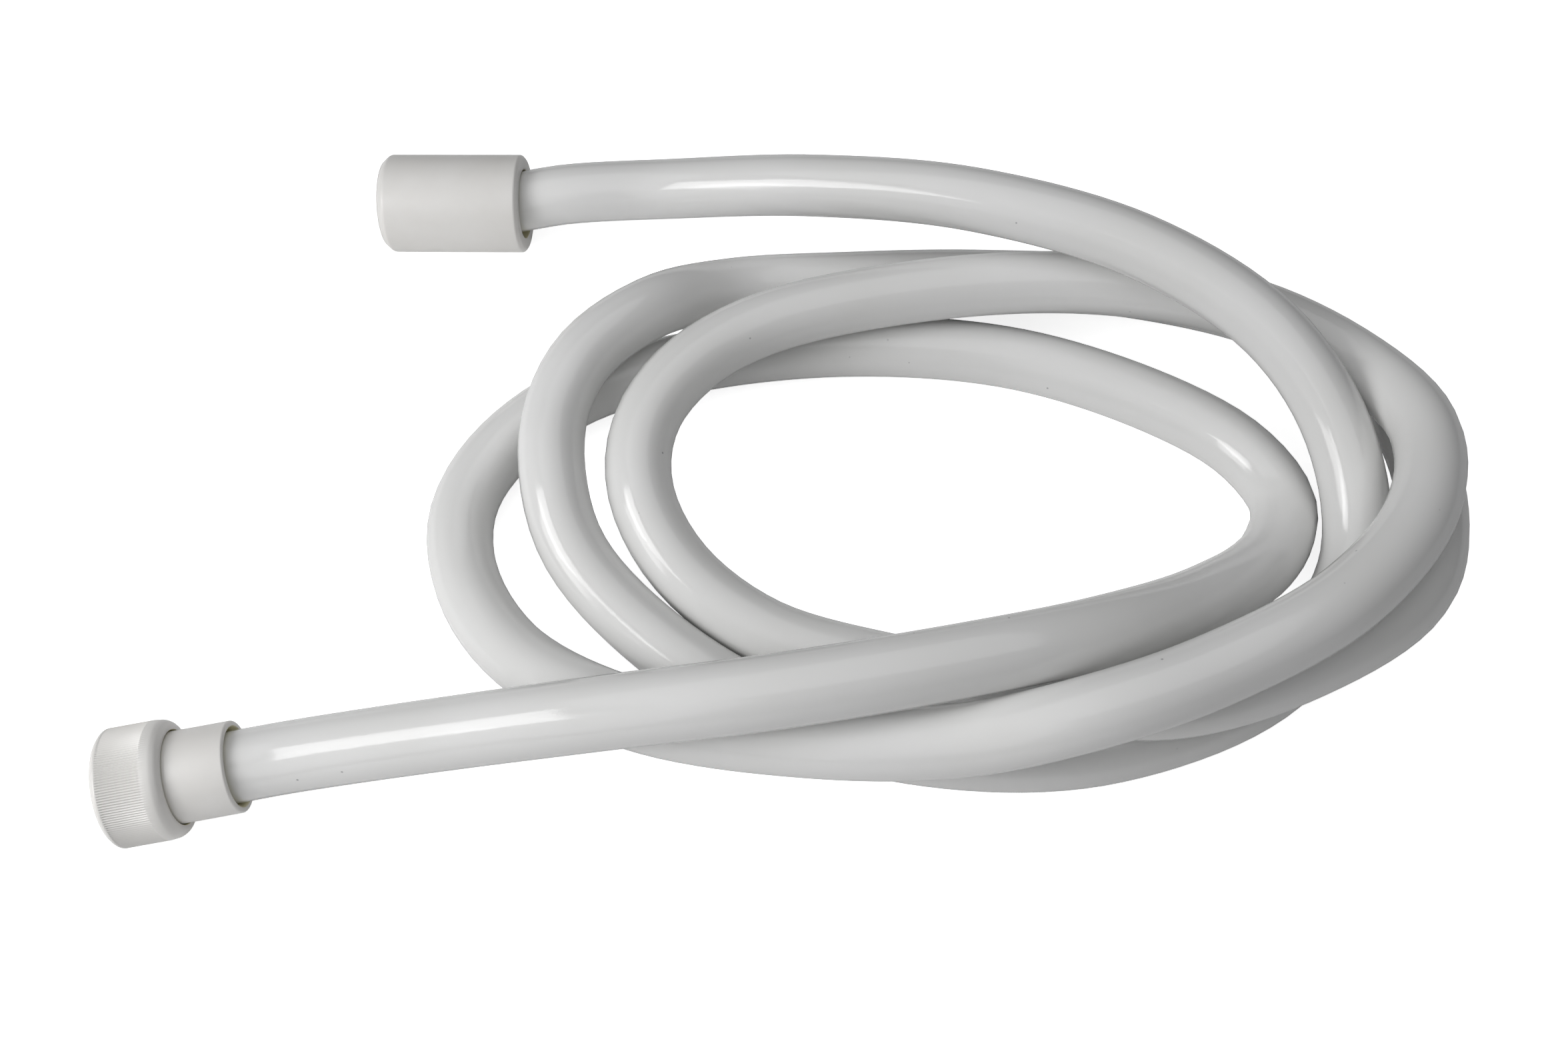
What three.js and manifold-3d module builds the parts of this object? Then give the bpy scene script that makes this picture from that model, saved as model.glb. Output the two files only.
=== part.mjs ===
// A smooth white shower hose, lying in a loose coil, with a screw nut at each end.
//
// The hose is a plastic tube. Each end is crimped in a ferrule over the stem of a brass
// tailpiece, and a nut turns freely on that tailpiece. At the tap end the nut is a short
// knurled one for the fingers, and at the handset end it is a long plain sleeve.
//
// Lengths are in millimetres and angles in degrees. The hose lies on z = 0 with +Z up. The
// origin is on that surface, midway between the two end fittings.

import * as THREE from 'three';
import { mergeVertices } from 'three/addons/utils/BufferGeometryUtils.js';
import Module from 'manifold-3d';

// ---- Sizes shared by both ends ----

const seatGap = 0.3; // left between two faces that press on each other
const turnGap = 0.3; // left round a piece that something turns on

const hoseDiameter = 15;
const hoseBore = 10;
const hoseSides = 12;
const boreSides = 10;
const hoseSteps = 80;
const hoseStraight = 11; // how far the hose runs straight out of each fitting

const threadDiameter = 20.955; // outer diameter of the half-inch pipe thread that both nuts fit
const threadHeight = 1.1775; // how far the crests of the nuts' own thread stand in from it

const washerFit = 0.1; // radial, so that the washer passes the thread
const washerHole = 10;
const washerThickness = 2;

const flangeFit = 0.2; // radial, so that the flange passes the thread
const flangeThickness = 1.6;
const neckDiameter = 13.2;
const waterWay = 6.8;
const stemLength = 12;
const barbCount = 3;
const barbHeight = 0.35;

const ferruleCollar = 1; // thickness of the ferrule's inturned front wall
const ferruleFit = 0.3; // radial, between the ferrule and the hose in it
const ferruleFlare = 0.6; // how much wider the ferrule's mouth opens, radially
const ferruleFlareLength = 1.4;
const ferruleEdge = 0.4; // bevel on the ferrule's outer edges

const roundSegments = 48;
const smallSegments = 36;

// ---- Tap end: short knurled nut ----

const tapNutWall = 2.0225; // radial, from the thread's outer diameter to the knurling's crests
const tapNutLength = 14;
const tapNutFrontStep = 1.1; // radial, from the crests in to the front face
const tapNutChamfer = 1;
const tapNutThreadDepth = 6.5; // from the front face to the washer
const tapNutWeb = 1.6;
const tapNutBandStep = 0.2; // radial, from the crests in to where the shoulder begins
const tapNutShoulder = 1.6; // length of the rounded rear shoulder
const tapNutRim = 0.5; // wall left round the recess in the rear face
const knurlStart = 1.5;
const knurlLength = 7.5;
const knurlDepth = 0.3;
const knurlRidges = 144;
const tapFerruleWall = 1.8;
const tapFerruleLength = 13.7;

// ---- Handset end: long plain nut ----

const longNutWall = 1.7725; // radial, from the thread's outer diameter to the outside
const longNutLength = 35.5;
const longNutFrontStep = 1.45; // radial, from the outside in to the front face
const longNutChamfer = 1.6;
const longNutThreadDepth = 7.6; // from the front face to the washer
const longNutRearWall = 2;
const longNutRearStep = 0.85; // radial, from the outside in to the rear face
const longNutRearRound = 0.7;
const longNutHoleFit = 1.1; // radial, between the hose and the hole in the rear wall
const longFerruleWall = 1.4;

// ---- Where the two fittings lie ----

const tapPlace = { x: -35.5, y: -80, heading: 9, tilt: 5 };
const handsetPlace = { x: 1.5, y: 80.5, heading: -2, tilt: 2 };

// ---- Looks ----

const hoseWhite = new THREE.MeshStandardMaterial({ color: 0xf0f0ee, roughness: 0.22 });
const nutWhite = new THREE.MeshStandardMaterial({ color: 0xe9e6df, roughness: 0.42 });
const brass = new THREE.MeshStandardMaterial({ color: 0xb59a5a, roughness: 0.35, metalness: 1 });
const blackRubber = new THREE.MeshStandardMaterial({ color: 0x1c1c1c, roughness: 0.8 });

// ---- Helpers ----

/** The direction from a fitting's front face towards the hose. */
function axisOf(place) {
  const heading = THREE.MathUtils.degToRad(place.heading);
  const tilt = THREE.MathUtils.degToRad(place.tilt);
  return new THREE.Vector3(
    Math.cos(heading) * Math.cos(tilt),
    Math.sin(heading) * Math.cos(tilt),
    Math.sin(tilt)
  );
}

/** The height of a front face's centre when the nut's front edge rests on the surface. */
function restingHeight(place, radius, chamfer) {
  const tilt = THREE.MathUtils.degToRad(place.tilt);
  return radius * Math.cos(tilt) - chamfer * Math.sin(tilt);
}

/** A group whose +Y runs from the fitting's front face towards the hose. */
function fittingGroup(place, height) {
  const group = new THREE.Group();
  group.position.set(place.x, place.y, height);
  group.quaternion.setFromUnitVectors(new THREE.Vector3(0, 1, 0), axisOf(place));
  return group;
}

/** A turned piece from [radius, distance from the front face] pairs, outside first. */
function turned(profile, segments) {
  const points = profile.map(([radius, along]) => new THREE.Vector2(radius, along));
  points.push(points[0].clone());
  return new THREE.LatheGeometry(points, segments);
}

function toSolid(wasm, geometry) {
  const bare = geometry.clone();
  bare.deleteAttribute('normal');
  bare.deleteAttribute('uv');
  const merged = mergeVertices(bare, 1e-4);
  const mesh = new wasm.Mesh({
    numProp: 3,
    vertProperties: new Float32Array(merged.attributes.position.array),
    triVerts: new Uint32Array(merged.index.array)
  });
  mesh.merge();
  return new wasm.Manifold(mesh);
}

function toGeometry(solid) {
  const mesh = solid.getMesh();
  const geometry = new THREE.BufferGeometry();
  geometry.setAttribute('position', new THREE.BufferAttribute(mesh.vertProperties, 3));
  geometry.setIndex(new THREE.BufferAttribute(mesh.triVerts, 1));
  geometry.computeVertexNormals();
  return geometry;
}

function named(name, geometry, material) {
  const mesh = new THREE.Mesh(geometry, material);
  mesh.name = name;
  return mesh;
}

function ring(sides, radius) {
  const points = [];
  for (let i = 0; i < sides; i += 1) {
    const angle = (i / sides) * Math.PI * 2;
    points.push(new THREE.Vector2(radius * Math.cos(angle), radius * Math.sin(angle)));
  }
  return points;
}

// ---- Radii that follow from each other ----

const threadRadius = threadDiameter / 2;
const threadCrestRadius = threadRadius - threadHeight;
const washerRadius = threadCrestRadius - washerFit;
const flangeRadius = threadCrestRadius - flangeFit;
const barbRadius = (hoseBore / 2) * Math.cos(Math.PI / boreSides) - seatGap;
const neckHoleRadius = neckDiameter / 2 + turnGap;
const ferruleBoreRadius = hoseDiameter / 2 + ferruleFit;
const tapFerruleRadius = ferruleBoreRadius + tapFerruleWall;
const longFerruleRadius = ferruleBoreRadius + longFerruleWall;
const tapNutRadius = threadRadius + tapNutWall;
const longNutRadius = threadRadius + longNutWall;
const longNutBore = Math.max(flangeRadius, longFerruleRadius) + turnGap; // clears both

// ---- Places along each fitting, measured from its nut's front face ----

const tapFlangeFront = tapNutThreadDepth + washerThickness + seatGap;
const tapWebFront = tapFlangeFront + flangeThickness + seatGap;
const tapWebBack = tapWebFront + tapNutWeb;
const tapFerruleFront = tapWebBack + seatGap;
const tapFerruleBack = tapFerruleFront + tapFerruleLength;
const tapHoseEnd = tapFerruleFront + ferruleCollar + seatGap;

const longFlangeFront = longNutThreadDepth + washerThickness + seatGap;
const longFerruleFront = longFlangeFront + flangeThickness + seatGap;
const longFerruleBack = longNutLength - longNutRearWall - seatGap;
const longHoseEnd = longFerruleFront + ferruleCollar + seatGap;

// ---- Pieces that both ends have ----

/** Flat sealing ring that lies in front of the tailpiece's flange. */
function washer(name, front) {
  const inner = washerHole / 2;
  const back = front + washerThickness;
  const profile = [[washerRadius, front], [washerRadius, back], [inner, back], [inner, front]];
  return named(name, turned(profile, smallSegments), blackRubber);
}

/** Flange, neck and barbed stem in one turned piece, with the water way through it. */
function tailpiece(name, flangeFront, hoseEnd) {
  const neckRadius = neckDiameter / 2;
  const neckBack = hoseEnd - seatGap;
  const rootRadius = barbRadius - barbHeight;
  const stemEnd = hoseEnd + stemLength;
  const profile = [
    [waterWay / 2, flangeFront],
    [flangeRadius, flangeFront],
    [flangeRadius, flangeFront + flangeThickness],
    [neckRadius, flangeFront + flangeThickness],
    [neckRadius, neckBack],
    [rootRadius, neckBack]
  ];
  const pitch = stemLength / (barbCount + 1);
  for (let i = 1; i <= barbCount; i += 1) {
    const edge = hoseEnd + i * pitch;
    profile.push([rootRadius, edge]);
    profile.push([barbRadius, edge]);
    profile.push([rootRadius, edge + pitch * 0.8]);
  }
  profile.push([rootRadius, stemEnd]);
  profile.push([waterWay / 2, stemEnd]);
  return named(name, turned(profile, smallSegments), brass);
}

/** Sleeve crimped round the hose, with an inturned front wall and a slightly flared mouth. */
function ferrule(name, outer, front, back) {
  const profile = [
    [neckHoleRadius, front],
    [outer - ferruleEdge, front],
    [outer, front + ferruleEdge],
    [outer, back - ferruleEdge],
    [outer - ferruleEdge, back],
    [ferruleBoreRadius + ferruleFlare, back],
    [ferruleBoreRadius, back - ferruleFlareLength],
    [ferruleBoreRadius, front + ferruleCollar],
    [neckHoleRadius, front + ferruleCollar]
  ];
  return named(name, turned(profile, roundSegments), nutWhite);
}

// ---- Nuts ----

/**
 * Short nut with a knurled band. Its rear web turns on the tailpiece's neck, caught between
 * the flange and the ferrule, and its rear face is recessed round the ferrule.
 */
function knurledNut(wasm) {
  const outer = tapNutRadius;
  const band = outer - tapNutBandStep;
  const knurlEnd = knurlStart + knurlLength;
  const bed = outer - knurlDepth * 2;
  const shoulderFront = tapNutLength - tapNutShoulder;
  const recess = tapFerruleRadius + turnGap;
  const rim = recess + tapNutRim;
  const profile = [
    [threadRadius, 0],
    [outer - tapNutFrontStep, 0],
    [outer, tapNutChamfer],
    [outer, knurlStart],
    [bed, knurlStart],
    [bed, knurlEnd],
    [outer, knurlEnd],
    [band, shoulderFront]
  ];
  const shoulderSteps = 4;
  for (let i = 1; i <= shoulderSteps; i += 1) {
    const turn = (i / shoulderSteps) * (Math.PI / 2);
    const radius = rim + (band - rim) * Math.cos(turn);
    profile.push([radius, shoulderFront + tapNutShoulder * Math.sin(turn)]);
  }
  profile.push([recess, tapNutLength]);
  profile.push([recess, tapWebBack]);
  profile.push([neckHoleRadius, tapWebBack]);
  profile.push([neckHoleRadius, tapWebFront]);
  profile.push([threadRadius, tapWebFront]);
  const body = toSolid(wasm, turned(profile, roundSegments));

  const star = [];
  for (let i = 0; i < knurlRidges * 2; i += 1) {
    const angle = (i / (knurlRidges * 2)) * Math.PI * 2;
    const radius = i % 2 === 0 ? outer : outer - knurlDepth;
    star.push(new THREE.Vector2(radius * Math.cos(angle), radius * Math.sin(angle)));
  }
  const section = new THREE.Shape(star);
  section.holes.push(new THREE.Path(ring(roundSegments, (threadRadius + bed) / 2)));
  const knurl = new THREE.ExtrudeGeometry(section, { depth: knurlLength, bevelEnabled: false });
  knurl.rotateX(-Math.PI / 2);
  knurl.translate(0, knurlStart, 0);
  return named('knurled_nut', toGeometry(body.add(toSolid(wasm, knurl))), nutWhite);
}

/**
 * Long plain nut that covers its ferrule. The rear wall catches on the ferrule's mouth, and
 * the hose leaves through the hole in that wall.
 */
function longNut() {
  const outer = longNutRadius;
  const hole = hoseDiameter / 2 + longNutHoleFit;
  const wallFront = longNutLength - longNutRearWall;
  const profile = [
    [threadRadius, 0],
    [outer - longNutFrontStep, 0],
    [outer, longNutChamfer],
    [outer, longNutLength - longNutRearRound],
    [outer - longNutRearStep, longNutLength],
    [hole, longNutLength],
    [hole, wallFront],
    [longNutBore, wallFront],
    [longNutBore, longFlangeFront],
    [threadRadius, longFlangeFront - (threadRadius - longNutBore)]
  ];
  return named('long_nut', turned(profile, roundSegments), nutWhite);
}

// ---- Hose ----

/**
 * Points that the hose passes, from the handset end to the tap end. It makes three and a
 * half turns and lies on itself wherever it crosses.
 */
const hosePoints = [
  [73, 81, 17], [110, 72, 28], [149, 59, 37], [187, 42, 39],
  [214, 21, 35], [228, -1, 25], [230, -26, 13], [210, -53, 8.4],
  [172, -69, 7.8], [133, -69.5, 7.8], [97, -58.5, 7.9], [70, -40, 11],
  [56, -24, 16], [51, -8, 21], [51, 8, 23], [57, 23, 24.5],
  [71, 38, 22.5], [90, 52, 12.8], [118, 58, 8.1], [152, 59, 7.8],
  [192, 56, 7.8], [227, 43, 9], [245, 21, 12.5], [249, -8, 17],
  [239, -38, 22], [211, -57, 23.2], [180, -66, 23.5], [150, -60, 20],
  [124, -51, 10.8], [98, -41.5, 9.5], [80, -28, 13.5], [71, -12, 19],
  [71, 3, 22], [79, 18, 23.5], [97, 32, 23.5], [137, 43, 23.2],
  [178, 45, 23.2], [213, 37, 23.5], [235, 20, 25.5], [244, -2, 31.5],
  [238, -26, 36], [218, -49, 38.5], [190, -65, 39], [165, -74, 38],
  [138, -76.5, 29], [106, -74, 23.3], [72, -66, 18.5], [45, -48, 9.9],
  [32, -29, 7.9], [29, -10, 7.8], [36, 7, 7.8], [53, 23, 7.8],
  [80, 33, 7.8], [120, 38, 7.8], [160, 34, 7.8], [194, 20, 7.8],
  [211, 7, 7.8], [218, -8, 8.5], [212, -24, 12.5], [193, -41, 23],
  [168, -55, 34.5], [140, -64, 40], [103, -71, 40.5], [66, -73, 34],
  [30, -73, 23]
];

/** Three points on a fitting's axis, so that the hose stays straight inside it. */
function straightRun(group, hoseEnd, mouth) {
  const far = mouth + hoseStraight;
  return [hoseEnd, (hoseEnd + far) / 2, far].map((along) => {
    return new THREE.Vector3(0, along, 0).applyQuaternion(group.quaternion).add(group.position);
  });
}

function hose(handset, tap) {
  const start = straightRun(handset, longHoseEnd, longNutLength);
  const end = straightRun(tap, tapHoseEnd, tapFerruleBack).reverse();
  const between = hosePoints.map(([x, y, z]) => new THREE.Vector3(x, y, z));
  const route = new THREE.CatmullRomCurve3([...start, ...between, ...end]);
  route.arcLengthDivisions = 3000;
  const section = new THREE.Shape(ring(hoseSides, hoseDiameter / 2));
  section.holes.push(new THREE.Path(ring(boreSides, hoseBore / 2)));
  const geometry = new THREE.ExtrudeGeometry(section, { steps: hoseSteps, extrudePath: route });
  return named('hose_tube', geometry, hoseWhite);
}

// ---- Assembly ----

const wasm = await Module();
wasm.setup();

const tapEnd = fittingGroup(
  tapPlace,
  restingHeight(tapPlace, tapNutRadius, tapNutChamfer)
);
tapEnd.add(knurledNut(wasm));
tapEnd.add(washer('tap_washer', tapNutThreadDepth));
tapEnd.add(tailpiece('tap_tailpiece', tapFlangeFront, tapHoseEnd));
tapEnd.add(ferrule('tap_ferrule', tapFerruleRadius, tapFerruleFront, tapFerruleBack));

const handsetEnd = fittingGroup(
  handsetPlace,
  restingHeight(handsetPlace, longNutRadius, longNutChamfer)
);
handsetEnd.add(longNut());
handsetEnd.add(washer('handset_washer', longNutThreadDepth));
handsetEnd.add(tailpiece('handset_tailpiece', longFlangeFront, longHoseEnd));
handsetEnd.add(ferrule('handset_ferrule', longFerruleRadius, longFerruleFront, longFerruleBack));

const showerHose = new THREE.Group();
showerHose.add(tapEnd, handsetEnd, hose(handsetEnd, tapEnd));

export default showerHose;
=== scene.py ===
"""A smooth white shower hose in a loose coil, with a screw nut at each end.

Every size is a real one, in millimetres unless a name says otherwise, and the hose lies in
the frame of its solids: +Z up, the surface at z = 0, the origin midway between the two end
fittings. Each fitting is modelled along +Z from its nut's front face and is then laid in its
place, so that its own axis points from the front face to the hose.
"""

import logging
import math
from collections.abc import Callable
from dataclasses import dataclass, field
from enum import Enum

import bpy
from mathutils import Matrix, Vector

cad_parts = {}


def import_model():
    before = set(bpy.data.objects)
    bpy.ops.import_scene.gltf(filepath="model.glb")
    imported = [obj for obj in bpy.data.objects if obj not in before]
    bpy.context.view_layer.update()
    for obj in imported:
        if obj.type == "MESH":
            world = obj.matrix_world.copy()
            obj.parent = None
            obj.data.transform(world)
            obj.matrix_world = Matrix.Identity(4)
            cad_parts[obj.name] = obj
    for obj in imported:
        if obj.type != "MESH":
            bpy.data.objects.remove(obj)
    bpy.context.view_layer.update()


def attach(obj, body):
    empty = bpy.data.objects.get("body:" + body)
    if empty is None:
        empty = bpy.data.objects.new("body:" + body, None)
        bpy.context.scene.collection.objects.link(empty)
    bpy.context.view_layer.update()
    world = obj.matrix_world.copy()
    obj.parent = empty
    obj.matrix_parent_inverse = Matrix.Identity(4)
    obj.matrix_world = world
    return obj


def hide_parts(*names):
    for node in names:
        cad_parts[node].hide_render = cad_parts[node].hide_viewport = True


log = logging.getLogger("shower_hose")

MM = 0.001
POINT_WELD = 1e-6  # metres: points closer than this become one
SEAM_WELD = 2e-6  # the same along the seam of a turned piece
EDGE_SLACK = 0.1  # millimetres past a nominal radius that still belong to a rounded edge
Colour = tuple[float, float, float]
Profile = list[tuple[float, float]]
FilletedProfile = list[tuple[float, float, float]]


class Body(Enum):
    """The bodies that pieces ride on."""

    HOSE = "hose"
    TAP_NUT = "tap_nut"
    HANDSET_NUT = "handset_nut"


class Slot(Enum):
    """The material slots of the part."""

    HOSE_WHITE = "hose_white"
    NUT_WHITE = "nut_white"
    BRASS = "tailpiece_brass"
    RUBBER = "washer_rubber"


class Mark(Enum):
    """The numbers that points carry for their finish to read: both kinds drive painted shade.
    """

    # how deep a point lies in the knurl grooves, which the finish darkens as painted shade
    PAINTED_GROOVE_SHADE = "painted_groove_shade"
    # surfaces deep in a gap, which the finish paints with a dark warm shade
    INSIDE = "inside"


# ---------- working by hand: the operators that every piece uses ----------


def clear_selection() -> None:
    """Leave edit mode and deselect everything."""
    if bpy.context.object and bpy.context.object.mode != "OBJECT":
        bpy.ops.object.mode_set(mode="OBJECT")
    bpy.ops.object.select_all(action="DESELECT")


def take(piece: bpy.types.Object) -> None:
    """Select one piece alone and make it active.

    Args:
        piece: the piece that the next operators act on.
    """
    clear_selection()
    piece.select_set(True)
    bpy.context.view_layer.objects.active = piece


def filleted(corners: FilletedProfile, steps: int = 4) -> Profile:
    """Round the corners of a closed profile.

    Args:
        corners: radius, distance along the axis and size of the rounding, for each corner.
        steps: the faces in each rounding.

    Returns:
        The profile's points, with a short curve in place of each rounded corner.
    """
    points: Profile = []
    count = len(corners)
    for index, (radius, along, size) in enumerate(corners):
        here = Vector((radius, along))
        if size <= 0:
            points.append((radius, along))
            continue
        before = Vector(corners[index - 1][:2])
        after = Vector(corners[(index + 1) % count][:2])
        first = here + (before - here).normalized() * size
        last = here + (after - here).normalized() * size
        for step in range(steps + 1):
            t = step / steps
            spot = first * (1 - t) ** 2 + here * 2 * t * (1 - t) + last * t**2
            points.append((spot.x, spot.y))
    return points


def drawn_profile(name: str, profile: Profile) -> bpy.types.Object:
    """Draw a closed profile in the XZ plane by extruding one point from corner to corner.

    Args:
        name: the new object's name.
        profile: radius and distance along +Z of each point.

    Returns:
        The object, in edit mode with all of it selected.
    """
    clear_selection()
    radius, along = profile[0]
    bpy.ops.mesh.primitive_plane_add(size=MM, location=(radius * MM, 0, along * MM))
    piece = bpy.context.object
    piece.name = name
    piece.data.name = name
    bpy.ops.object.transform_apply(location=True, rotation=True, scale=True)
    bpy.ops.object.mode_set(mode="EDIT")
    bpy.ops.mesh.select_all(action="SELECT")
    bpy.ops.mesh.merge(type="CENTER")
    for next_radius, next_along in profile[1:] + profile[:1]:
        move = ((next_radius - radius) * MM, 0, (next_along - along) * MM)
        bpy.ops.mesh.extrude_region_move(TRANSFORM_OT_translate={"value": move})
        radius, along = next_radius, next_along
    bpy.ops.mesh.select_all(action="SELECT")
    bpy.ops.mesh.remove_doubles(threshold=POINT_WELD)
    return piece


def turned(name: str, profile: Profile, steps: int) -> bpy.types.Object:
    """Turn a closed profile round the Z axis.

    Args:
        name: the new object's name.
        profile: radius and distance along +Z of each point.
        steps: the faces round the piece.

    Returns:
        The turned piece, in object mode.
    """
    piece = drawn_profile(name, profile)
    bpy.ops.mesh.spin(steps=steps, angle=math.tau, center=(0, 0, 0), axis=(0, 0, 1))
    bpy.ops.mesh.select_all(action="SELECT")
    bpy.ops.mesh.remove_doubles(threshold=SEAM_WELD)
    bpy.ops.mesh.normals_make_consistent(inside=False)
    bpy.ops.object.mode_set(mode="OBJECT")
    return piece


def smooth(piece: bpy.types.Object, degrees: float = 32) -> None:
    """Shade a piece smooth, except across its sharp edges.

    Args:
        piece: the piece to shade.
        degrees: the angle from which an edge stays sharp.
    """
    take(piece)
    bpy.ops.object.shade_smooth_by_angle(angle=math.radians(degrees))


def mark(piece: bpy.types.Object, kind: Mark, value: Callable[[float, float], float]) -> None:
    """Give each point of a turned piece a number that its finish can read.

    Args:
        piece: the piece, still along the Z axis.
        kind: what the number says.
        value: gives the number from the point's radius and distance along the axis.
    """
    marks = piece.data.attributes.new(kind.value, "FLOAT", "POINT")
    for point, number in zip(piece.data.vertices, marks.data):
        radius, along = math.hypot(point.co.x, point.co.y) / MM, point.co.z / MM
        number.value = value(radius, along)


def mark_painted_gap_shade(piece: bpy.types.Object, widest: float, start: float = 0.0) -> None:
    """Mark the surfaces that lie deep in a gap, where the finish paints a dark warm shade.

    Args:
        piece: the piece, still along the Z axis.
        widest: the radius of the gap's edge.
        start: where the gap's surfaces begin, along the axis.
    """
    reach = widest + EDGE_SLACK
    mark(piece, Mark.INSIDE, lambda radius, along: float(radius < reach and along > start))


def dress(piece: bpy.types.Object, finish: bpy.types.Material) -> None:
    """Give a piece one material all over."""
    piece.data.materials.clear()
    piece.data.materials.append(finish)


# ---------- finishes ----------


class Nodes:
    """A material under construction, with short ways to add and join its nodes."""

    def __init__(self, name: str) -> None:
        """Start a material with a Principled shader."""
        self.material = bpy.data.materials.new(name)
        self.material.use_nodes = True
        self.tree = self.material.node_tree
        self.shader = self.tree.nodes["Principled BSDF"]
        self.coords = self.tree.nodes.new("ShaderNodeTexCoord").outputs["Object"]

    def add(self, kind: str, **settings: object) -> bpy.types.Node:
        """Add a node and set its properties.

        Args:
            kind: the node's type, without the ShaderNode prefix.
            **settings: properties of the node, by name.

        Returns:
            The new node.
        """
        node = self.tree.nodes.new("ShaderNode" + kind)
        for key, value in settings.items():
            setattr(node, key, value)
        return node

    def join(self, output: bpy.types.NodeSocket, target: bpy.types.NodeSocket) -> None:
        """Link an output to an input."""
        self.tree.links.new(output, target)

    def noise(
        self, scale: float, detail: float = 2, roughness: float = 0.5
    ) -> bpy.types.NodeSocket:
        """Fractal noise on the object's own coordinates.

        Args:
            scale: waves for each metre.
            detail: how many finer layers it has.
            roughness: how strong the finer layers are.

        Returns:
            The noise's value socket, about 0 to 1.
        """
        node = self.add("TexNoise")
        node.inputs["Scale"].default_value = scale
        node.inputs["Detail"].default_value = detail
        node.inputs["Roughness"].default_value = roughness
        self.join(self.coords, node.inputs["Vector"])
        return node.outputs["Fac"]

    def ramp(
        self,
        value: bpy.types.NodeSocket,
        low: float,
        high: float,
        first: float = 0.0,
        last: float = 1.0,
    ) -> bpy.types.NodeSocket:
        """Map a value from one range to another, held at both ends.

        Args:
            value: the socket to map.
            low: the value that gives first.
            high: the value that gives last.
            first: what comes out at low.
            last: what comes out at high.

        Returns:
            The mapped value's socket.
        """
        node = self.add("MapRange")
        node.inputs["From Min"].default_value = low
        node.inputs["From Max"].default_value = high
        node.inputs["To Min"].default_value = first
        node.inputs["To Max"].default_value = last
        self.join(value, node.inputs["Value"])
        return node.outputs["Result"]

    def blend(
        self,
        factor: bpy.types.NodeSocket,
        first: bpy.types.NodeSocket | Colour,
        second: bpy.types.NodeSocket | Colour,
    ) -> bpy.types.NodeSocket:
        """Mix two colours.

        Args:
            factor: 0 gives the first colour and 1 the second.
            first: a colour or a colour socket.
            second: a colour or a colour socket.

        Returns:
            The mixed colour's socket.
        """
        node = self.add("Mix", data_type="RGBA")
        self.join(factor, node.inputs["Factor"])
        for name, colour in (("A", first), ("B", second)):
            socket = next(s for s in node.inputs if s.name == name and s.type == "RGBA")
            if isinstance(colour, tuple):
                socket.default_value = (*colour, 1)
            else:
                self.join(colour, socket)
        return next(out for out in node.outputs if out.type == "RGBA")

    def mark(self, kind: Mark) -> bpy.types.NodeSocket:
        """The number of this kind that the piece's points carry, or 0."""
        return self.add("Attribute", attribute_name=kind.value).outputs["Fac"]

    def finish(
        self,
        colour: bpy.types.NodeSocket,
        roughness: bpy.types.NodeSocket,
        normal: bpy.types.NodeSocket,
    ) -> None:
        """Join the three sockets that every finish makes to the shader."""
        self.join(colour, self.shader.inputs["Base Color"])
        self.join(roughness, self.shader.inputs["Roughness"])
        self.join(normal, self.shader.inputs["Normal"])

    def bump(
        self,
        height: bpy.types.NodeSocket,
        distance: float,
        strength: float = 1.0,
        under: bpy.types.NodeSocket | None = None,
    ) -> bpy.types.NodeSocket:
        """A bump from a height.

        Args:
            height: the height's socket, about 0 to 1.
            distance: how high 1 stands, in metres.
            strength: how much of it shows.
            under: the normal of a bump that lies under this one.

        Returns:
            The normal's socket.
        """
        node = self.add("Bump")
        node.inputs["Distance"].default_value = distance
        node.inputs["Strength"].default_value = strength
        self.join(height, node.inputs["Height"])
        if under is not None:
            self.join(under, node.inputs["Normal"])
        return node.outputs["Normal"]


@dataclass(frozen=True)
class GlossyVinyl:
    """The hose's plasticised vinyl: glossy, with a fine orange peel and stray specks."""

    colour: Colour = (0.80, 0.80, 0.795)
    cloudy: Colour = (0.775, 0.775, 0.765)
    speck: Colour = (0.42, 0.42, 0.43)
    glossy: float = 0.06
    dull: float = 0.16
    refraction: float = 1.53
    cloud_waves: float = 28
    speck_cells: float = 210
    speck_chance: float = 0.88
    speck_core: float = 0.03
    speck_edge: float = 0.07
    peel_waves: float = 3000
    peel_height: float = 1e-5
    swell_waves: float = 120
    swell_height: float = 6e-5

    def build(self) -> bpy.types.Material:
        """Make the material."""
        n = Nodes("glossy white vinyl")
        cloud = n.ramp(n.noise(self.cloud_waves, 2), 0.35, 0.65)
        base = n.blend(cloud, self.colour, self.cloudy)
        base = n.blend(self.specks(n), base, self.speck)
        grain = n.noise(self.peel_waves, 1.5, 0.45)
        gloss = n.ramp(grain, 0.4, 0.62, self.glossy, self.dull)
        swell = n.bump(n.noise(self.swell_waves, 1), self.swell_height, 0.5)
        n.finish(base, gloss, n.bump(grain, self.peel_height, 1.0, swell))
        n.shader.inputs["IOR"].default_value = self.refraction
        return n.material

    def specks(self, n: Nodes) -> bpy.types.NodeSocket:
        """Where the few small specks are: 1 in a speck and 0 elsewhere."""
        cells = n.add("TexVoronoi", feature="F1")
        cells.inputs["Scale"].default_value = self.speck_cells
        n.join(n.coords, cells.inputs["Vector"])
        chance = n.add("SeparateColor")
        n.join(cells.outputs["Color"], chance.inputs["Color"])
        few = n.ramp(chance.outputs["Red"], self.speck_chance, self.speck_chance + 0.02)
        dot = n.ramp(cells.outputs["Distance"], self.speck_core, self.speck_edge, 1.0, 0.0)
        both = n.add("Math", operation="MULTIPLY")
        n.join(few, both.inputs[0])
        n.join(dot, both.inputs[1])
        return both.outputs["Value"]


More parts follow.
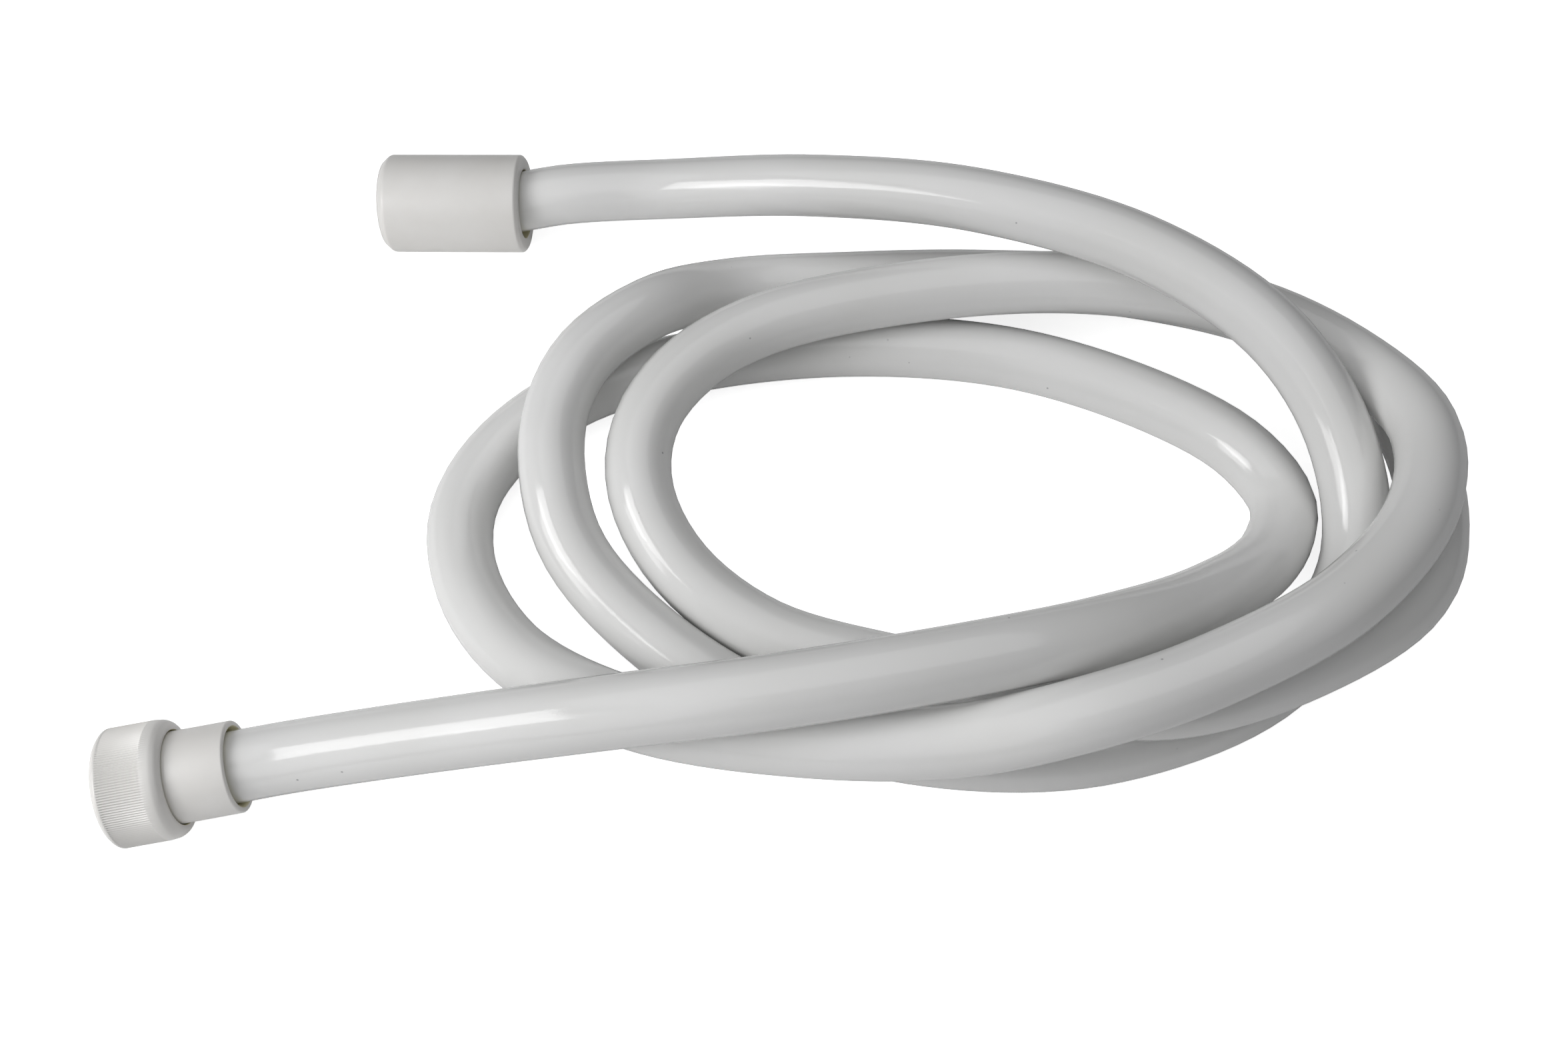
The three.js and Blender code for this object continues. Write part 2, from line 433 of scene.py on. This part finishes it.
@dataclass(frozen=True)
class SatinPlastic:
    """The moulded nuts and ferrules: satin, slightly warm, with soft flow marks, painted shade
    in the knurl grooves and a painted warm shade deep in the gaps.
    """

    colour: Colour = (0.80, 0.79, 0.77)
    shade: Colour = (0.765, 0.75, 0.725)
    # painted shade: the darker colour painted into the knurl grooves
    painted_groove_shade: Colour = (0.70, 0.69, 0.67)
    # painted shade: the dark warm colour painted deep in the gaps
    inside: Colour = (0.66, 0.62, 0.40)
    smoothest: float = 0.29
    roughest: float = 0.40
    refraction: float = 1.5
    flow_waves: float = 70
    wear_waves: float = 320
    swell_waves: float = 240
    swell_height: float = 2.5e-5
    grain_waves: float = 4200
    grain_height: float = 5e-6

    def build(self) -> bpy.types.Material:
        """Make the material."""
        n = Nodes("satin white plastic")
        flow = n.ramp(n.noise(self.flow_waves, 3, 0.55), 0.3, 0.7)
        base = n.blend(flow, self.colour, self.shade)
        # painted shade: the colour grows darker deeper in the knurl grooves
        base = n.blend(n.mark(Mark.PAINTED_GROOVE_SHADE), base, self.painted_groove_shade)
        # painted shade: dark warm colour on the surfaces deep in a gap
        base = n.blend(n.mark(Mark.INSIDE), base, self.inside)
        wear = n.ramp(n.noise(self.wear_waves, 2), 0.3, 0.7, self.smoothest, self.roughest)
        swell = n.bump(n.noise(self.swell_waves, 2), self.swell_height, 0.6)
        grain = n.noise(self.grain_waves, 2, 0.6)
        n.finish(base, wear, n.bump(grain, self.grain_height, 1.0, swell))
        n.shader.inputs["IOR"].default_value = self.refraction
        return n.material


@dataclass(frozen=True)
class TurnedBrass:
    """The tailpieces' bare brass, lightly tarnished and finely marked by its tool."""

    bright: Colour = (0.72, 0.55, 0.27)
    dull: Colour = (0.56, 0.42, 0.2)
    polished: float = 0.24
    worn: float = 0.42
    tarnish_waves: float = 160
    tool_waves: float = 2200
    tool_height: float = 5e-6

    def build(self) -> bpy.types.Material:
        """Make the material."""
        n = Nodes("turned brass")
        tarnish = n.ramp(n.noise(self.tarnish_waves, 4, 0.6), 0.35, 0.7)
        base = n.blend(tarnish, self.bright, self.dull)
        rough = n.ramp(tarnish, 0, 1, self.polished, self.worn)
        n.finish(base, rough, n.bump(n.noise(self.tool_waves, 2), self.tool_height, 0.8))
        n.shader.inputs["Metallic"].default_value = 1.0
        return n.material


@dataclass(frozen=True)
class BlackRubber:
    """The sealing washers' matt black rubber."""

    colour: Colour = (0.022, 0.022, 0.023)
    bloom: Colour = (0.05, 0.05, 0.05)
    clean: float = 0.62
    dusty: float = 0.8
    dust_waves: float = 600
    grain_waves: float = 3000
    grain_height: float = 1.5e-5

    def build(self) -> bpy.types.Material:
        """Make the material."""
        n = Nodes("black rubber")
        dust = n.ramp(n.noise(self.dust_waves, 4, 0.7), 0.45, 0.8)
        base = n.blend(dust, self.colour, self.bloom)
        rough = n.ramp(dust, 0, 1, self.clean, self.dusty)
        n.finish(base, rough, n.bump(n.noise(self.grain_waves, 3), self.grain_height, 0.8))
        return n.material


@dataclass
class Palette:
    """The finishes of the whole hose, made once."""

    hose: bpy.types.Material = field(default_factory=lambda: GlossyVinyl().build())
    nut: bpy.types.Material = field(default_factory=lambda: SatinPlastic().build())
    brass: bpy.types.Material = field(default_factory=lambda: TurnedBrass().build())
    rubber: bpy.types.Material = field(default_factory=lambda: BlackRubber().build())


# ---------- studio ----------


@dataclass(frozen=True)
class Softbox:
    """A rectangular soft lamp, in metres and watts."""

    name: str
    place: tuple[float, float, float]
    width: float
    depth: float
    watts: float
    level: bool = False

    def hang(self, aim: Vector) -> None:
        """Hang the lamp, level or facing a point.

        Args:
            aim: the point that it faces if it isn't level.
        """
        data = bpy.data.lights.new(self.name, "AREA")
        data.shape = "RECTANGLE"
        data.size = self.width
        data.size_y = self.depth
        data.energy = self.watts
        lamp = bpy.data.objects.new(self.name, data)
        lamp.location = Vector(self.place)
        if not self.level:
            lamp.rotation_euler = (aim - lamp.location).to_track_quat("-Z", "Y").to_euler()
        bpy.context.scene.collection.objects.link(lamp)


@dataclass
class Studio:
    """The white sweep, the soft lamps and the camera at the photograph's angle."""

    aim: Vector = field(default_factory=lambda: Vector((0.103, -0.008, 0)))
    distance: float = 0.392
    elevation: float = math.radians(58.6)
    focal_pixels: float = 2500
    frame_width: int = 2352
    sensor: float = 36.0
    world_light: float = 0.05
    world_tint: Colour = (0.93, 0.95, 1)
    floor_size: float = 6
    floor_drop: float = 0.0003
    floor_white: float = 0.94
    floor_glow: float = 0.8
    lamps: tuple[Softbox, ...] = (
        Softbox("main softbox", (-0.50, -0.21, 0.45), 0.50, 0.34, 2.5, level=True),
        Softbox("left softbox", (-0.9, -0.4, 0.5), 0.5, 0.5, 2.6),
        Softbox("top softbox", (0.1, 0.0, 0.6), 0.8, 0.8, 1.75),
        Softbox("front softbox", (-0.7, -0.9, 0.7), 1.4, 1.1, 3.2),
    )

    def build(self) -> None:
        """Set up the camera, the world, the floor and the lamps."""
        bpy.context.scene.view_settings.view_transform = "Standard"
        self.add_camera()
        self.add_world()
        self.add_floor()
        for lamp in self.lamps:
            lamp.hang(self.aim)
        log.info("studio ready")

    def add_camera(self) -> None:
        """Put the camera where the photograph was taken from."""
        data = bpy.data.cameras.new("photo camera")
        data.sensor_fit = "HORIZONTAL"
        data.sensor_width = self.sensor
        data.lens = self.focal_pixels / self.frame_width * self.sensor
        data.clip_start = 0.01
        camera = bpy.data.objects.new("photo camera", data)
        bpy.context.scene.collection.objects.link(camera)
        back = Vector((0, -math.cos(self.elevation), math.sin(self.elevation)))
        camera.location = self.aim + back * self.distance
        camera.rotation_euler = (math.pi / 2 - self.elevation, 0, 0)
        bpy.context.scene.camera = camera

    def add_world(self) -> None:
        """Light the scene faintly from all sides, and show plain white to the camera."""
        world = bpy.data.worlds.new("white studio")
        bpy.context.scene.world = world
        world.use_nodes = True
        tree = world.node_tree
        output = tree.nodes["World Output"]
        light = tree.nodes["Background"]
        light.inputs["Color"].default_value = (*self.world_tint, 1)
        light.inputs["Strength"].default_value = self.world_light
        white = tree.nodes.new("ShaderNodeBackground")
        white.inputs["Color"].default_value = (1, 1, 1, 1)
        path = tree.nodes.new("ShaderNodeLightPath")
        mix = tree.nodes.new("ShaderNodeMixShader")
        tree.links.new(path.outputs["Is Camera Ray"], mix.inputs["Fac"])
        tree.links.new(light.outputs["Background"], mix.inputs[1])
        tree.links.new(white.outputs["Background"], mix.inputs[2])
        tree.links.new(mix.outputs["Shader"], output.inputs["Surface"])

    def add_floor(self) -> None:
        """Lay the white sweep, which shows white to the camera and keeps the hose's shadow."""
        clear_selection()
        place = (0.1, 0, -self.floor_drop)
        bpy.ops.mesh.primitive_plane_add(size=self.floor_size, location=place)
        floor = bpy.context.object
        floor.name = "white_sweep"
        n = Nodes("white sweep")
        n.shader.inputs["Base Color"].default_value = (*[self.floor_white] * 3, 1)
        n.shader.inputs["Roughness"].default_value = 0.9
        n.shader.inputs["Specular IOR Level"].default_value = 0.1
        path = n.add("LightPath")
        glow = n.add("Math", operation="MULTIPLY")
        glow.inputs[1].default_value = self.floor_glow
        n.join(path.outputs["Is Camera Ray"], glow.inputs[0])
        n.shader.inputs["Emission Color"].default_value = (1, 1, 1, 1)
        n.join(glow.outputs["Value"], n.shader.inputs["Emission Strength"])
        dress(floor, n.material)


# ---------- the two fittings ----------


@dataclass(frozen=True)
class Place:
    """Where a fitting lies: its front face's centre, and the way its axis points."""

    x: float
    y: float
    heading: float
    tilt: float
    front_diameter: float
    front_chamfer: float

    @property
    def axis(self) -> Vector:
        """The direction from the front face to the hose."""
        heading, tilt = math.radians(self.heading), math.radians(self.tilt)
        flat = math.cos(tilt)
        return Vector((math.cos(heading) * flat, math.sin(heading) * flat, math.sin(tilt)))

    @property
    def front(self) -> Vector:
        """The front face's centre in metres, with the nut's front edge on the surface."""
        tilt = math.radians(self.tilt)
        height = self.front_diameter / 2 * math.cos(tilt) - self.front_chamfer * math.sin(tilt)
        return Vector((self.x, self.y, height)) * MM

    def at(self, along: float) -> Vector:
        """The point on the axis at a distance from the front face, in metres."""
        return self.front + self.axis * (along * MM)

    def lay(self, piece: bpy.types.Object) -> None:
        """Move a piece from the Z axis to this place, and keep the place in its mesh.

        Args:
            piece: a piece modelled along +Z from z = 0.
        """
        turn = self.axis.to_track_quat("Z", "Y").to_matrix().to_4x4()
        piece.matrix_world = Matrix.Translation(self.front) @ turn
        take(piece)
        bpy.ops.object.transform_apply(location=True, rotation=True, scale=True)


class FittingPlace(Enum):
    """The places of the two fittings."""

    TAP = Place(-35.5, -80.0, 9.0, 5.0, 25.0, 1.0)
    HANDSET = Place(1.5, 80.5, -2.0, 2.0, 24.5, 1.6)


@dataclass
class PipeThread:
    """The half-inch pipe thread inside a nut: a ridge that winds in from the front."""

    outer_radius: float = 10.4775
    inner_radius: float = 9.3155
    pitch: float = 1.814
    steps_per_turn: int = 96
    sunk: float = 0.14
    foot_share: float = 0.44
    crest_share: float = 0.1
    crest_edge: float = 0.12
    run_out_sections: int = 14
    run_out_least: float = 0.04
    front_gap: float = 0.6
    back_gap: float = 0.1

    def build(self, name: str, start: float, end: float) -> bpy.types.Object:
        """Wind the ridge, with both its ends run out into the wall.

        Args:
            name: the ridge's name.
            start: where it begins, from the front face.
            end: where it ends.

        Returns:
            The ridge, along the Z axis.
        """
        root = self.outer_radius + self.sunk
        half, crest = self.pitch * self.foot_share, self.pitch * self.crest_share
        edge = self.crest_edge
        profile = [
            (root, -half),
            (self.inner_radius + edge, -crest - edge / 2),
            (self.inner_radius, -crest / 2),
            (self.inner_radius, crest / 2),
            (self.inner_radius + edge, crest + edge / 2),
            (root, half),
        ]
        ridge = drawn_profile(name, [(r, s + start + half) for r, s in profile])
        bpy.ops.object.mode_set(mode="OBJECT")
        turns = (end - start - 2 * half) / self.pitch
        screw = ridge.modifiers.new("wind", "SCREW")
        screw.angle = math.tau * turns
        screw.screw_offset = self.pitch * turns * MM
        screw.steps = screw.render_steps = round(self.steps_per_turn * turns)
        take(ridge)
        bpy.ops.object.modifier_apply(modifier=screw.name)
        self.run_out(ridge, len(profile))
        bpy.ops.object.mode_set(mode="EDIT")
        bpy.ops.mesh.select_all(action="SELECT")
        bpy.ops.mesh.fill_holes(sides=len(profile))
        bpy.ops.mesh.select_all(action="SELECT")
        bpy.ops.mesh.normals_make_consistent(inside=False)
        bpy.ops.object.mode_set(mode="OBJECT")
        return ridge

    def run_out(self, ridge: bpy.types.Object, across: int) -> None:
        """Sink the first and last sections into the wall, a little more each.

        Args:
            ridge: the wound ridge.
            across: the points in its section.
        """
        points = ridge.data.vertices
        sections = len(points) // across
        root = (self.outer_radius + self.sunk) * MM
        for index, point in enumerate(points):
            section = index // across
            from_end = min(section, sections - 1 - section)
            share = min(1.0, from_end / self.run_out_sections)
            radius = math.hypot(point.co.x, point.co.y)
            wanted = root + (radius - root) * max(share, self.run_out_least)
            point.co.x *= wanted / radius
            point.co.y *= wanted / radius

    def cut(self, nut: bpy.types.Object, depth: float) -> None:
        """Wind the thread into a nut and join it to the nut.

        Args:
            nut: the nut, along the Z axis.
            depth: how deep its threaded bore is.
        """
        ridge = self.build(nut.name + "_thread", self.front_gap, depth - self.back_gap)
        take(nut)
        ridge.select_set(True)
        bpy.ops.object.join()


@dataclass
class Tailpiece:
    """A turned brass tailpiece: flange, neck and barbed stem, with the water way through it."""

    flange_front: float
    hose_end: float
    flange_diameter: float = 18.2
    flange_thickness: float = 1.6
    neck_diameter: float = 13.2
    water_way: float = 6.8
    stem_length: float = 12.0
    barb_radius: float = 4.455
    barb_height: float = 0.35
    barb_share: float = 0.8
    barbs: int = 3
    hose_gap: float = 0.3

    def build(self, name: str) -> bpy.types.Object:
        """Turn the tailpiece.

        Args:
            name: the piece's name.

        Returns:
            The piece, along the Z axis.
        """
        flange, neck, way = self.flange_diameter / 2, self.neck_diameter / 2, self.water_way / 2
        back = self.flange_front + self.flange_thickness
        shoulder = self.hose_end - self.hose_gap
        root, end = self.barb_radius - self.barb_height, self.hose_end + self.stem_length
        corners: FilletedProfile = [
            (way, self.flange_front, 0.35),
            (flange, self.flange_front, 0.25),
            (flange, back, 0.25),
            (neck, back, 0.2),
            (neck, shoulder, 0.2),
            (root, shoulder, 0.1),
        ]
        pitch = self.stem_length / (self.barbs + 1)
        for index in range(1, self.barbs + 1):
            edge = self.hose_end + index * pitch
            corners += [
                (root, edge, 0),
                (self.barb_radius, edge, 0.06),
                (root, edge + pitch * self.barb_share, 0),
            ]
        corners += [(root, end, 0.2), (way, end, 0.2)]
        return turned(name, filleted(corners, 3), 96)


@dataclass
class Washer:
    """A flat sealing washer with softly moulded edges."""

    front: float
    diameter: float = 18.4
    hole: float = 10.0
    thickness: float = 2.0
    edge: float = 0.25

    def build(self, name: str) -> bpy.types.Object:
        """Turn the washer.

        Args:
            name: the piece's name.

        Returns:
            The piece, along the Z axis.
        """
        back = self.front + self.thickness
        outer, inner = self.diameter / 2, self.hole / 2
        corners: FilletedProfile = [
            (outer, self.front, self.edge),
            (outer, back, self.edge),
            (inner, back, self.edge),
            (inner, self.front, self.edge),
        ]
        return turned(name, filleted(corners, 3), 96)


@dataclass
class Ferrule:
    """A sleeve crimped round the hose, with an inturned front and a flared mouth."""

    diameter: float
    front: float
    back: float
    collar: float = 1.0
    neck_hole: float = 6.9
    bore: float = 7.8
    flare: float = 0.6
    flare_length: float = 1.4

    def build(self, name: str) -> bpy.types.Object:
        """Turn the ferrule.

        Args:
            name: the piece's name.

        Returns:
            The piece, along the Z axis.
        """
        outer = self.diameter / 2
        corners: FilletedProfile = [
            (self.neck_hole, self.front, 0.1),
            (outer, self.front, 0.6),
            (outer, self.back, 0.55),
            (self.bore + self.flare, self.back, 0.3),
            (self.bore, self.back - self.flare_length, 0.5),
            (self.bore, self.front + self.collar, 0.1),
            (self.neck_hole, self.front + self.collar, 0.1),
        ]
        ferrule = turned(name, filleted(corners, 5), 144)
        mark_painted_gap_shade(ferrule, self.bore + self.flare)
        return ferrule


@dataclass
class KnurledNut:
    """The short round nut at the tap end, with straight knurling for the fingers."""

    diameter: float = 25.0
    length: float = 14.0
    front_diameter: float = 22.8
    bore: float = 10.4775
    thread_depth: float = 6.5
    web_front: float = 10.7
    web_back: float = 12.3
    web_hole: float = 6.9
    recess: float = 9.9
    rim: float = 10.75
    band: float = 12.3
    shoulder: float = 1.6
    chamfer: float = 1.0
    ridges: int = 144
    columns_per_ridge: int = 4
    ridge_depth: float = 0.3
    flank_share: float = 0.45
    knurl_start: float = 1.5
    knurl_end: float = 10.6
    knurl_run_in: float = 0.4

    def profile(self) -> Profile:
        """The nut's section, with rows where the knurling begins and ends."""
        outer = self.diameter / 2
        front: FilletedProfile = [
            (self.bore, 0, 0.3),
            (self.front_diameter / 2, 0, 0.35),
            (outer, self.chamfer, 0.4),
            (outer, self.knurl_start, 0),
            (outer, self.knurl_start + self.knurl_run_in, 0),
            (outer, self.knurl_end - self.knurl_run_in, 0),
            (outer, self.knurl_end, 0),
            (self.band, self.length - self.shoulder, 0.4),
            (self.band - 0.55, self.length - 0.6, 0.45),
            (self.rim, self.length, 0.3),
            (self.recess, self.length, 0.12),
            (self.recess, self.web_back, 0.3),
            (self.web_hole, self.web_back, 0.1),
            (self.web_hole, self.web_front, 0.1),
            (self.bore, self.web_front, 0.2),
        ]
        return filleted(front, 4)

    def build(self, name: str) -> bpy.types.Object:
        """Turn the nut, press the knurling and cut the thread.

        Args:
            name: the piece's name.

        Returns:
            The piece, along the Z axis.
        """
        nut = turned(name, self.profile(), self.ridges * self.columns_per_ridge)
        self.press(nut, {2}, self.ridge_depth)
        self.press(nut, {1, 3}, self.ridge_depth * self.flank_share)
        # the groove depth drives the painted shade in the knurl grooves
        mark(nut, Mark.PAINTED_GROOVE_SHADE, self.groove_depth)
        mark_painted_gap_shade(nut, self.recess, self.web_front)
        PipeThread().cut(nut, self.thread_depth)
        return nut

    def groove_depth(self, radius: float, along: float) -> float:
        """How deep in the knurling a point lies, from 0 at the ridges to 1 in the grooves."""
        if not self.knurl_start < along < self.knurl_end:
            return 0.0
        depth = (self.diameter / 2 - radius) / self.ridge_depth
        return depth if 0 < depth < 1.1 else 0.0

    def press(self, nut: bpy.types.Object, columns: set[int], depth: float) -> None:
        """Press some of the columns of the knurled band inwards.

        Args:
            nut: the turned nut.
            columns: which of the columns in each ridge are pressed.
            depth: how far, in millimetres.
        """
        take(nut)
        outer = self.diameter / 2
        low = self.knurl_start + self.knurl_run_in / 2
        high = self.knurl_end - self.knurl_run_in / 2
        for polygon in nut.data.polygons:
            polygon.select = False
        for edge in nut.data.edges:
            edge.select = False
        for point in nut.data.vertices:
            angle = math.atan2(point.co.y, point.co.x) % math.tau
            columns_round = self.ridges * self.columns_per_ridge
            column = round(angle / math.tau * columns_round) % self.columns_per_ridge
            radius, along = math.hypot(point.co.x, point.co.y) / MM, point.co.z / MM
            point.select = radius > outer - 0.05 and low < along < high and column in columns
        bpy.ops.object.mode_set(mode="EDIT")
        share = 1 - depth / outer
        bpy.ops.transform.resize(value=(share, share, 1), center_override=(0, 0, 0))
        bpy.ops.object.mode_set(mode="OBJECT")


@dataclass
class LongNut:
    """The long plain nut at the handset end, which covers its ferrule."""

    diameter: float = 24.5
    length: float = 35.5
    front_diameter: float = 21.6
    chamfer: float = 1.6
    thread_bore: float = 10.4775
    thread_depth: float = 7.6
    bore: float = 9.5
    bore_start: float = 9.9
    rear_wall: float = 2.0
    rear_diameter: float = 22.8
    rear_round: float = 0.7
    rear_hole: float = 8.6

    def build(self, name: str) -> bpy.types.Object:
        """Turn the nut and cut its thread.

        Args:
            name: the piece's name.

        Returns:
            The piece, along the Z axis.
        """
        outer, inside = self.diameter / 2, self.length - self.rear_wall
        corners: FilletedProfile = [
            (self.thread_bore, 0, 0.3),
            (self.front_diameter / 2, 0, 0.4),
            (outer, self.chamfer, 0.6),
            (outer, self.length - self.rear_round, 0.4),
            (self.rear_diameter / 2, self.length, 0.35),
            (self.rear_hole, self.length, 0.35),
            (self.rear_hole, inside, 0.1),
            (self.bore, inside, 0.1),
            (self.bore, self.bore_start, 0),
            (self.thread_bore, self.bore_start - (self.thread_bore - self.bore), 0),
        ]
        nut = turned(name, filleted(corners, 5), 192)
        mark_painted_gap_shade(nut, self.rear_hole, inside)
        PipeThread().cut(nut, self.thread_depth)
        return nut


@dataclass
class EndFitting:
    """One end of the hose: its nut, and the washer, tailpiece and ferrule inside it."""

    end: str
    place: Place
    nut: KnurledNut | LongNut
    nut_node: str
    nut_body: Body
    washer: Washer
    tailpiece: Tailpiece
    ferrule: Ferrule

    def build(self, palette: Palette) -> list[bpy.types.Object]:
        """Make the four pieces and lay them in place.

        Args:
            palette: the finishes.

        Returns:
            The pieces, nut first.
        """
        plan = [
            (self.nut, self.nut_node, palette.nut, Slot.NUT_WHITE, self.nut_body),
            (self.ferrule, self.end + "_ferrule", palette.nut, Slot.NUT_WHITE, Body.HOSE),
            (self.tailpiece, self.end + "_tailpiece", palette.brass, Slot.BRASS, Body.HOSE),
            (self.washer, self.end + "_washer", palette.rubber, Slot.RUBBER, Body.HOSE),
        ]
        pieces = []
        for maker, node, finish, slot, body in plan:
            piece = maker.build(node + "_fine")
            dress(piece, finish)
            self.place.lay(piece)
            smooth(piece)
            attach(piece, body.value)
            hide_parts(node)
            log.info("%s: %d faces", piece.name, len(piece.data.polygons))
            pieces.append(piece)
        return pieces


# ---------- the hose ----------


@dataclass
class CoiledHose:
    """The hose itself: a smooth tube that lies in three and a half loose turns."""

    diameter: float = 15.0
    bore: float = 10.0
    length: float = 2030.0
    straight: float = 11.0
    handset_start: float = 13.1
    handset_mouth: float = 35.5
    handset_lift: tuple[float, float, float] = (0, 1.5, 2.0)
    tap_start: float = 13.9
    tap_mouth: float = 26.3
    sample: float = 4.0
    knot_steps: int = 24
    section_steps: int = 7
    sharp_angle: float = 50
    points: tuple[tuple[float, float, float], ...] = (
        (73, 81, 17), (110, 72, 28), (149, 59, 37), (187, 42, 39),
        (214, 21, 35), (228, -1, 25), (230, -26, 13), (210, -53, 8.4),
        (172, -69, 7.8), (133, -69.5, 7.8), (97, -58.5, 7.9), (70, -40, 11),
        (56, -24, 16), (51, -8, 21), (51, 8, 23), (57, 23, 24.5),
        (71, 38, 22.5), (90, 52, 12.8), (118, 58, 8.1), (152, 59, 7.8),
        (192, 56, 7.8), (227, 43, 9), (245, 21, 12.5), (249, -8, 17),
        (239, -38, 22), (211, -57, 23.2), (180, -66, 23.5), (150, -60, 20),
        (124, -51, 10.8), (98, -41.5, 9.5), (80, -28, 13.5), (71, -12, 19),
        (71, 3, 22), (79, 18, 23.5), (97, 32, 23.5), (137, 43, 23.2),
        (178, 45, 23.2), (213, 37, 23.5), (235, 20, 25.5), (244, -2, 31.5),
        (238, -26, 36), (218, -49, 38.5), (190, -65, 39), (165, -74, 38),
        (138, -76.5, 29), (106, -74, 23.3), (72, -66, 18.5), (45, -48, 9.9),
        (32, -29, 7.9), (29, -10, 7.8), (36, 7, 7.8), (53, 23, 7.8),
        (80, 33, 7.8), (120, 38, 7.8), (160, 34, 7.8), (194, 20, 7.8),
        (211, 7, 7.8), (218, -8, 8.5), (212, -24, 12.5), (193, -41, 23),
        (168, -55, 34.5), (140, -64, 40), (103, -71, 40.5), (66, -73, 34),
        (30, -73, 23),
    )

    def run(self, place: Place, start: float, mouth: float) -> list[Vector]:
        """Three points on a fitting's axis, so that the hose stays straight inside it.

        Args:
            place: the fitting's place.
            start: where the hose begins, from the front face.
            mouth: where it leaves the fitting.

        Returns:
            The points in metres, from the hose's end outwards.
        """
        far = mouth + self.straight
        return [place.at(start), place.at((start + far) / 2), place.at(far)]

    def route(self) -> list[Vector]:
        """The hose's centreline in metres, in short steps from the handset end."""
        first = self.run(FittingPlace.HANDSET.value, self.handset_start, self.handset_mouth)
        first[-1] += Vector(self.handset_lift) * MM
        last = self.run(FittingPlace.TAP.value, self.tap_start, self.tap_mouth)
        between = [Vector(point) * MM for point in self.points]
        knots = first + between + last[::-1]
        return even_steps(smooth_line(knots, self.knot_steps), self.sample * MM)

    def build(self, palette: Palette, tap_pieces: list[bpy.types.Object]) -> bpy.types.Object:
        """Args:
            palette: the finishes.
            tap_pieces: the pieces on its far end; not used.

        Returns:
            The hose.
        """
        line = self.route()
        curve = bpy.data.curves.new("hose", "CURVE")
        curve.dimensions = "3D"
        curve.twist_mode = "MINIMUM"
        spline = curve.splines.new("POLY")
        spline.points.add(len(line) - 1)
        for point, spot in zip(spline.points, line):
            point.co = (*spot, 1)
        curve.bevel_depth = self.diameter / 2 * MM
        curve.bevel_resolution = self.section_steps
        hose = bpy.data.objects.new("hose", curve)
        bpy.context.scene.collection.objects.link(hose)
        take(hose)
        bpy.ops.object.convert(target="MESH")
        hose = bpy.context.object
        wall = hose.modifiers.new("wall", "SOLIDIFY")
        wall.thickness = (self.diameter - self.bore) / 2 * MM
        wall.offset = -1
        bpy.ops.object.modifier_apply(modifier=wall.name)
        smooth(hose, self.sharp_angle)
        dress(hose, palette.hose)
        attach(hose, Body.HOSE.value)
        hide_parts("hose_tube")
        FittingPlace.HANDSET.value.at(self.handset_mouth)
        log.info("hose: %d faces", len(hose.data.polygons))
        return hose


def smooth_line(knots: list[Vector], steps: int) -> list[Vector]:
    """A centripetal Catmull-Rom line through points.

    Args:
        knots: the points it passes.
        steps: how many steps it takes between two of them.

    Returns:
        The line's points.
    """
    ends = [knots[0] * 2 - knots[1], *knots, knots[-1] * 2 - knots[-2]]
    line = []
    for a, b, c, d in zip(ends, ends[1:], ends[2:], ends[3:]):
        t1 = (b - a).length ** 0.5
        t2 = t1 + (c - b).length ** 0.5
        t3 = t2 + (d - c).length ** 0.5
        for step in range(steps):
            t = t1 + (t2 - t1) * step / steps
            ab = a * ((t1 - t) / t1) + b * (t / t1)
            bc = b * ((t2 - t) / (t2 - t1)) + c * ((t - t1) / (t2 - t1))
            cd = c * ((t3 - t) / (t3 - t2)) + d * ((t - t2) / (t3 - t2))
            abc = ab * ((t2 - t) / t2) + bc * (t / t2)
            bcd = bc * ((t3 - t) / (t3 - t1)) + cd * ((t - t1) / (t3 - t1))
            line.append(abc * ((t2 - t) / (t2 - t1)) + bcd * ((t - t1) / (t2 - t1)))
    line.append(knots[-1].copy())
    return line


def even_steps(line: list[Vector], step: float) -> list[Vector]:
    """The same line in steps of even length.

    Args:
        line: points close together.
        step: the length wanted, in metres.

    Returns:
        The new points, first and last kept.
    """
    reach = [0.0]
    for here, after in zip(line, line[1:]):
        reach.append(reach[-1] + (after - here).length)
    count = round(reach[-1] / step)
    spaced, index = [], 0
    for number in range(count + 1):
        wanted = reach[-1] * number / count
        while index < len(line) - 2 and reach[index + 1] < wanted:
            index += 1
        share = (wanted - reach[index]) / (reach[index + 1] - reach[index])
        spaced.append(line[index].lerp(line[index + 1], share))
    return spaced


# ---------- the whole part ----------


def tap_fitting() -> EndFitting:
    """The short knurled nut's end."""
    return EndFitting(
        end="tap",
        place=FittingPlace.TAP.value,
        nut=KnurledNut(),
        nut_node="knurled_nut",
        nut_body=Body.TAP_NUT,
        washer=Washer(front=6.5),
        tailpiece=Tailpiece(flange_front=8.8, hose_end=13.9),
        ferrule=Ferrule(diameter=19.2, front=12.6, back=26.3),
    )


def handset_fitting() -> EndFitting:
    """The long plain nut's end."""
    return EndFitting(
        end="handset",
        place=FittingPlace.HANDSET.value,
        nut=LongNut(),
        nut_node="long_nut",
        nut_body=Body.HANDSET_NUT,
        washer=Washer(front=7.6),
        tailpiece=Tailpiece(flange_front=9.9, hose_end=13.1),
        ferrule=Ferrule(diameter=18.4, front=11.8, back=33.2),
    )


def main() -> None:
    """Build the studio, the fittings and the hose."""
    logging.basicConfig(level=logging.INFO, format="%(name)s: %(message)s")
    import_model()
    Studio().build()
    palette = Palette()
    tap_pieces = tap_fitting().build(palette)
    handset_fitting().build(palette)
    CoiledHose().build(palette, tap_pieces)


if __name__ == "__main__":
    main()
